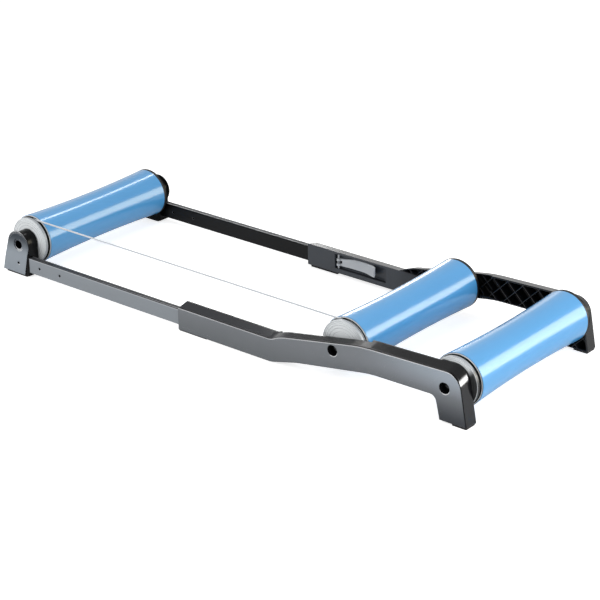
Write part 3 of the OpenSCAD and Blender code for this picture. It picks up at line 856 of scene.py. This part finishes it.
@dataclass(frozen=True)
class BearingFinish:
    """Chromed rings of a ball bearing with a darker shield between them."""

    chrome: Colour = shade(214, 216, 220)
    shield: Colour = shade(120, 123, 128)
    shield_inner: float = 0.0072
    shield_outer: float = 0.0108
    shield_edge: float = 0.0002
    shield_rough: float = 0.15
    roughness: float = 0.2
    metallic: float = 0.95
    ring_pitch: float = 0.0004
    edge_radius: float = 0.0004

    def material(self, name: str, axle: Vector) -> bpy.types.Material:
        """Makes the finish for one roller's bearings.

        Args:
            name: the material's name.
            axle: a point on the roller's axis.

        Returns:
            The material.
        """
        graph, made = Graph.of_material(name)
        _, _, radius = graph.about(axle)
        shield = radius.rise(self.shield_inner - self.shield_edge, self.shield_inner)
        shield = shield * radius.rise(self.shield_outer + self.shield_edge, self.shield_outer)
        rings = radius.waves(self.ring_pitch)
        rounded = graph.soft_edge(self.edge_radius)
        graph.surface({
            "Base Color": graph.blend(shield, self.chrome, self.shield),
            "Roughness": self.roughness + shield * self.shield_rough, "Metallic": self.metallic,
            "Normal": graph.bump(rings, depth=0.00002, strength=0.3, normal=rounded),
        })
        return made


@dataclass(frozen=True)
class LeverFinish:
    """Grey moulded lever with a fine grain and edges painted paler as a highlight."""

    grey: Colour = shade(192, 196, 200)
    dim: Colour = shade(170, 174, 180)
    # Painted highlight on the edges.
    edge: Colour = shade(236, 238, 240)
    cloud_share: float = 0.4
    edge_sheen_share: float = 0.5
    edge_radius: float = 0.0008
    grain: float = 2200.0
    roughness: float = 0.42
    cloud_rough: float = 0.08

    def material(self) -> bpy.types.Material:
        """Makes the finish.

        Returns:
            The material.
        """
        graph, made = Graph.of_material(Slot.LEVER.value)
        rounded = graph.soft_edge(self.edge_radius)
        clouds = graph.noise(scale=50.0)
        colour = graph.blend(clouds * self.cloud_share, self.grey, self.dim)
        # Painted highlight: the edges are paler.
        colour = graph.blend(graph.edge_mask(rounded, gain=2.0) * self.edge_sheen_share, colour, self.edge)
        grain = graph.noise(self.grain, detail=2.0)
        graph.surface({
            "Base Color": colour, "Roughness": self.roughness + clouds * self.cloud_rough,
            "Normal": graph.bump(grain, depth=0.00005, strength=0.4, normal=rounded),
        })
        return made


@dataclass
class Assembly:
    """Named CAD nodes that are dressed together."""

    nodes: dict[str, bpy.types.Object]

    def dress(self, names: list[str], material: bpy.types.Material) -> None:
        """Gives CAD nodes a finish.

        Args:
            names: the nodes.
            material: their finish.
        """
        for name in names:
            slots = self.nodes[name].material_slots
            for slot in slots:
                slot.material = material
            LOG.info("%s: %s in %d slot(s)", name, material.name, len(slots))


@dataclass
class SideFrames(Assembly):
    """The two moulded side frames."""

    leg_height: float = 0.085

    def dress_all(self) -> None:
        """Gives both their finish, whose painted shade darkens it towards the bottom of the leg."""
        bottom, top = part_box("near_side_frame")
        moulded = MouldedFinish().material(Slot.MOULDED.value, bottom.z, bottom.z + self.leg_height)
        self.dress(["near_side_frame", "far_side_frame"], moulded)
        LOG.info("side frames are %.3f m high", top.z - bottom.z)


@dataclass
class FrontFrame(Assembly):
    """The rails and the front feet, whose plates carry painted light: pale below and dark above."""

    lit_depth: float = 0.062
    shaded_depth: float = 0.012

    def dress_all(self) -> None:
        """Gives every piece its finish."""
        bottom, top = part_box("near_front_foot")
        plate = MouldedFinish(
            bare=shade(6, 6, 7), bare_pale=shade(14, 14, 16),
            lacquer=shade(62, 68, 75), lacquer_front_lighting=shade(154, 162, 170),
            gloss=0.12, rear_glint=0.2, outer_face=0.244, face_ramp=0.0004,
        )
        # Painted light: the plates' lacquer is pale below and dark above.
        feet = plate.material("front_foot", top.z - self.lit_depth, top.z - self.shaded_depth)
        self.dress(["near_front_foot", "far_front_foot"], feet)
        self.dress(["near_rail", "far_rail"], RailFinish().material(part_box("near_rail")[1].z))
        LOG.info("front feet are %.3f m high", top.z - bottom.z)


@dataclass
class Roller(Assembly):
    """One roller: its tube, its two caps and its bearings."""

    name: str = "front"
    leg_shadow: Colour = shade(14, 14, 15)

    @property
    def axle(self) -> Vector:
        """The middle of the roller."""
        low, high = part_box(self.name + "_near_bearing")
        return (low + high) / 2

    def dress_all(self) -> None:
        """Gives every piece its finish."""
        axle = self.axle
        far_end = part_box(self.name + "_roller_tube")[1].y
        tube = RollerFinish().material(self.name + "_tube", axle, far_end)
        self.dress([self.name + "_roller_tube"], tube)
        # Only the rear cap gets a painted shadow of the leg.
        shadow = self.leg_shadow if self.name == "rear" else None
        white = CapFinish().material(self.name + "_white_cap", axle, shadow)
        self.dress([self.name + "_belt_cap"], white)
        black = CapFinish(
            face=shade(30, 30, 32), groove=shade(18, 18, 19), side=shade(16, 16, 17),
            roughness=0.3, gloss=0.1,
        )
        self.dress([self.name + "_far_cap"], black.material(self.name + "_black_cap", axle))
        bearing = BearingFinish().material(self.name + "_bearings", axle)
        self.dress([self.name + "_near_bearing", self.name + "_far_bearing"], bearing)


@dataclass
class SmallParts(Assembly):
    """Pads, belt rings, axles, spacers, screws, plugs, and the lock levers with their pins and springs."""

    def dress_all(self) -> None:
        """Gives every piece its finish."""
        rubber = ["sleeve_pads", "leg_pads", "front_foot_pads"]
        rubber += [name + "_belt_ring" for name in ("front", "middle", "rear")]
        self.dress(rubber, RubberFinish().material())
        axles = ["front_axle", "middle_axle", "rear_axle", "lever_pins", "lever_springs"]
        axles += ["frame_axle_spacers", "front_axle_spacers"]
        self.dress(axles, SteelFinish(Slot.AXLE).material())
        screws = SteelFinish(
            Slot.SCREW, steel=shade(112, 114, 118), shadow=shade(64, 66, 70), roughness=0.32,
        )
        self.dress(["frame_axle_screws", "front_axle_screws", "foot_bolts"], screws.material())
        plugs = CapFinish(
            face=shade(26, 26, 27), groove=shade(16, 16, 16), side=shade(20, 20, 21),
            roughness=0.45, gloss=0.3,
        )
        self.dress(["rail_plugs"], plugs.material(Slot.BLACK.value, Vector((0, 0, 0))))
        self.dress(["near_lock_lever", "far_lock_lever"], LeverFinish().material())


@dataclass
class DriveBelt:
    """The round belt from the middle roller to the front one."""

    front: Vector
    middle: Vector
    run_radius: float = 0.0525
    cord_radius: float = 0.002
    half_turn_steps: int = 40
    straight_steps: int = 30
    sides: int = 16
    grip_room: float = 0.07

    def route(self) -> list[Vector]:
        """The middle line of the belt.

        Returns:
            The points of the closed loop, in order.
        """
        points: list[Vector] = []
        for centre, start in ((self.middle, 90.0), (self.front, -90.0)):
            for step in range(self.half_turn_steps + 1):
                angle = math.radians(start - 180 * step / self.half_turn_steps)
                offset = Vector((math.cos(angle), 0, math.sin(angle))) * self.run_radius
                points.append(centre + offset)
            other = self.front if centre is self.middle else self.middle
            leave = points[-1]
            reach = leave + (other - centre)
            for step in range(1, self.straight_steps):
                points.append(leave.lerp(reach, step / self.straight_steps))
        return points

    def build(self) -> bpy.types.Object:
        """Makes the belt as a closed tube.

        Returns:
            The belt.
        """
        route = self.route()
        count = len(route)
        vertices: list[Vector] = []
        across = Vector((0, 1, 0))
        for index, point in enumerate(route):
            ahead = (route[(index + 1) % count] - route[index - 1]).normalized()
            outward = ahead.cross(across)
            for side in range(self.sides):
                angle = 2 * math.pi * side / self.sides
                offset = outward * math.cos(angle) + across * math.sin(angle)
                vertices.append(point + offset * self.cord_radius)
        faces = []
        for index in range(count):
            here, after = index * self.sides, (index + 1) % count * self.sides
            for side in range(self.sides):
                beside = (side + 1) % self.sides
                faces.append((here + side, here + beside, after + beside, after + side))
        mesh = bpy.data.meshes.new("drive_cord")
        mesh.from_pydata([tuple(v) for v in vertices], [], faces)
        mesh.shade_smooth()
        belt = bpy.data.objects.new("drive_cord", mesh)
        bpy.context.scene.collection.objects.link(belt)
        mesh.materials.append(BeltFinish().material())
        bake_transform(belt)
        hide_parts("drive_belt")
        LOG.info("drive_cord: %d points, %d faces", count, len(faces))
        return belt


@dataclass(frozen=True)
class Softbox:
    """A flat rectangular lamp, which shows in reflections, lights things, or both."""

    name: str
    centre: Vector
    toward: Vector
    width: float
    height: float
    level: float
    mirrored: bool
    lights: bool
    tint: tuple[float, float, float] = (1.0, 1.0, 1.0)
    spread: float = 180.0

    def build(self) -> bpy.types.Object:
        """Makes the lamp; its level is its brightness where white is 1.

        Returns:
            The lamp.
        """
        light = bpy.data.lights.new(self.name, "AREA")
        light.shape = "RECTANGLE"
        light.size = self.width
        light.size_y = self.height
        light.energy = self.level * math.pi * self.width * self.height
        light.color = self.tint
        light.spread = math.radians(self.spread)
        lamp = bpy.data.objects.new(self.name, light)
        lamp.location = self.centre
        lamp.rotation_mode = "QUATERNION"
        lamp.rotation_quaternion = self.toward.to_track_quat("-Z", "Y")
        lamp.visible_camera = False
        lamp.visible_glossy = self.mirrored
        lamp.visible_diffuse = self.lights
        bpy.context.scene.collection.objects.link(lamp)
        LOG.info("%s: %.1f x %.1f m, level %.2f", self.name, self.width, self.height, self.level)
        return lamp


@dataclass
class Studio:
    """White surroundings with a dim ceiling, a pale floor and soft lamps."""

    ambient: float = 0.34
    ceiling: float = 0.4
    horizon: Span = (0.1, 0.36)
    wall: Span = (0.5, 0.66)
    wall_light: float = 0.8
    floor_half: float = 9.0
    floor_drop: float = 0.0003
    floor_white: Colour = shade(228, 228, 228)
    floor_lift: float = 0.74
    mirrored_lift: float = 0.13

    def open_light(self, graph: Graph) -> Wire:
        """Tells rays that show the background from rays that only light things.

        Args:
            graph: the world's node tree.

        Returns:
            1 for rays from the camera and rays mirrored or let through, 0 for others.
        """
        path = graph.node("ShaderNodeLightPath", output="Is Camera Ray")
        return (path + path.other("Is Glossy Ray") + path.other("Is Transmission Ray")).least(1.0)

    def world(self) -> None:
        """Makes the white surroundings."""
        world = bpy.data.worlds.new("white_room")
        world.use_nodes = True
        bpy.context.scene.world = world
        graph = Graph(world.node_tree)
        _, back, up = graph.axes(graph.node("ShaderNodeTexCoord", output="Generated"))
        mirrored = graph.node("ShaderNodeLightPath", output="Is Glossy Ray")
        wall = back.rise(*self.wall) * self.wall_light
        darker = mirrored * up.rise(*self.horizon) * (1 - self.ceiling) * (1 - wall)
        strength = self.ambient + self.open_light(graph) * (1 - self.ambient) - darker
        white = graph.node("ShaderNodeBackground", inputs={"Color": WHITE, "Strength": strength})
        graph.node("ShaderNodeOutputWorld", inputs={"Surface": white})

    def floor(self) -> bpy.types.Object:
        """Makes the floor, which keeps the object's shadow.

        Returns:
            The floor.
        """
        half = self.floor_half
        outline = [(-half, -half, 0), (half, -half, 0), (half, half, 0), (-half, half, 0)]
        mesh = bpy.data.meshes.new("floor")
        mesh.from_pydata(outline, [], [(0, 1, 2, 3)])
        floor = bpy.data.objects.new("floor", mesh)
        floor.location.z = -self.floor_drop
        bpy.context.scene.collection.objects.link(floor)
        graph, material = Graph.of_material("pale_floor")
        path = graph.node("ShaderNodeLightPath", output="Is Camera Ray")
        mirrored = path.other("Is Glossy Ray") + path.other("Is Transmission Ray")
        glow = path * self.floor_lift + mirrored * self.mirrored_lift
        plain = graph.node("ShaderNodeBsdfDiffuse", inputs={"Color": self.floor_white})
        lit = graph.node("ShaderNodeEmission", inputs={"Color": WHITE, "Strength": glow})
        both = graph.node("ShaderNodeAddShader", inputs={0: plain, 1: lit})
        graph.node("ShaderNodeOutputMaterial", inputs={"Surface": both})
        mesh.materials.append(material)
        return floor

    def lamps(self) -> list[Softbox]:
        """The lamps: five that are only mirrored, and four that only light.

        Returns:
            All of them.
        """
        mirrored = {"mirrored": True, "lights": False}
        lighting = {"mirrored": False, "lights": True}
        return [
            Softbox("right_softbox", Vector((2.6, 2.6, 0.95)), Vector((-1, 0, 0)),
                    width=2.1, height=1.9, level=5.7, tint=(1.0, 0.92, 0.66), **mirrored),
            Softbox("corner_softbox", Vector((2.6, 0.8, 0.8)), Vector((-1.96, -1.4, -0.67)),
                    width=1.3, height=1.2, level=1.8, spread=38.0, **mirrored),
            Softbox("left_softbox", Vector((-0.9, 1.5, 0.5)), Vector((0, -1, 0)),
                    width=1.6, height=0.34, level=0.8, **mirrored),
            Softbox("back_softbox", Vector((-1.7, 1.9, 0.46)), Vector((0.69, -0.7, -0.05)),
                    width=0.8, height=0.38, level=8.0, **mirrored),
            Softbox("strip_lamp", Vector((-0.78, 0.84, 1.0)), Vector((0.1, -0.7, -1)),
                    width=0.1, height=0.75, level=12.0, **mirrored),
            Softbox("side_softbox", Vector((2.0, 0.5, 1.0)), Vector((-1, -0.1, -0.3)),
                    width=2.0, height=1.4, level=2.25, **lighting),
            Softbox("top_softbox", Vector((0.35, 0.0, 2.6)), Vector((0, 0, -1)),
                    width=2.4, height=2.4, level=1.1, **lighting),
            Softbox("front_softbox", Vector((-1.0, -1.9, 1.3)), Vector((0.4, 1, -0.6)),
                    width=1.6, height=1.2, level=4.0, **lighting),
            Softbox("low_softbox", Vector((1.6, -0.6, 0.4)), Vector((-1, 0.3, -0.2)),
                    width=1.0, height=0.7, level=2.0, **lighting),
        ]

    def build(self) -> None:
        """Makes the surroundings, the floor and the lamps, and sets how colours are shown."""
        self.world()
        self.floor()
        for lamp in self.lamps():
            lamp.build()
        bpy.context.scene.view_settings.view_transform = "Standard"


@dataclass
class PhotoCamera:
    """The camera of the photograph, as fitted to it."""

    target: Vector = field(default_factory=lambda: Vector((-0.001, 0.0, 0.050)))
    azimuth: float = 39.997
    elevation: float = 23.427
    roll: float = -0.76
    distance: float = 4.5422
    focal_px: float = 1990.5
    centre_px: tuple[float, float] = (284.84, 287.24)
    image_px: float = 600.0
    sensor: float = 36.0
    clip: Span = (0.1, 100.0)

    def orientation(self) -> Matrix:
        """The camera's axes as the columns of a matrix.

        Returns:
            The rotation that turns Blender's camera into place.
        """
        around, above, tilt = (math.radians(a) for a in (self.azimuth, self.elevation, self.roll))
        ahead = Vector((
            -math.sin(around) * math.cos(above), math.cos(around) * math.cos(above), -math.sin(above),
        ))
        level = Vector((math.cos(around), math.sin(around), 0))
        upright = level.cross(ahead)
        right = level * math.cos(tilt) + upright * math.sin(tilt)
        up = upright * math.cos(tilt) - level * math.sin(tilt)
        return Matrix((right, up, -ahead)).transposed()

    def build(self) -> bpy.types.Object:
        """Makes the camera and gives it to the scene.

        Returns:
            The camera.
        """
        data = bpy.data.cameras.new("photo_camera")
        data.sensor_width = self.sensor
        data.lens = self.focal_px / self.image_px * self.sensor
        data.shift_x = 0.5 - self.centre_px[0] / self.image_px
        data.shift_y = self.centre_px[1] / self.image_px - 0.5
        data.clip_start, data.clip_end = self.clip
        camera = bpy.data.objects.new("photo_camera", data)
        turn = self.orientation()
        camera.rotation_mode = "QUATERNION"
        camera.rotation_quaternion = turn.to_quaternion()
        camera.location = self.target + turn.col[2] * self.distance
        bpy.context.scene.collection.objects.link(camera)
        bpy.context.scene.camera = camera
        LOG.info("camera at %s", tuple(round(v, 4) for v in camera.location))
        return camera


def main() -> None:
    """Builds the camera, the assemblies and the studio in order."""
    logging.basicConfig(level=logging.INFO, format="%(name)s: %(message)s")
    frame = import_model()
    nodes = frame["nodes"]
    PhotoCamera().build()
    SideFrames(nodes).dress_all()
    FrontFrame(nodes).dress_all()
    SmallParts(nodes).dress_all()
    rollers = {name: Roller(nodes, name) for name in ("front", "middle", "rear")}
    for roller in rollers.values():
        roller.dress_all()
    low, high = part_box("drive_belt")
    plane = (low.y + high.y) / 2
    ends = {name: Vector((roller.axle.x, plane, roller.axle.z)) for name, roller in rollers.items()}
    DriveBelt(front=ends["front"], middle=ends["middle"]).build()
    Studio().build()


if __name__ == "__main__":
    main()
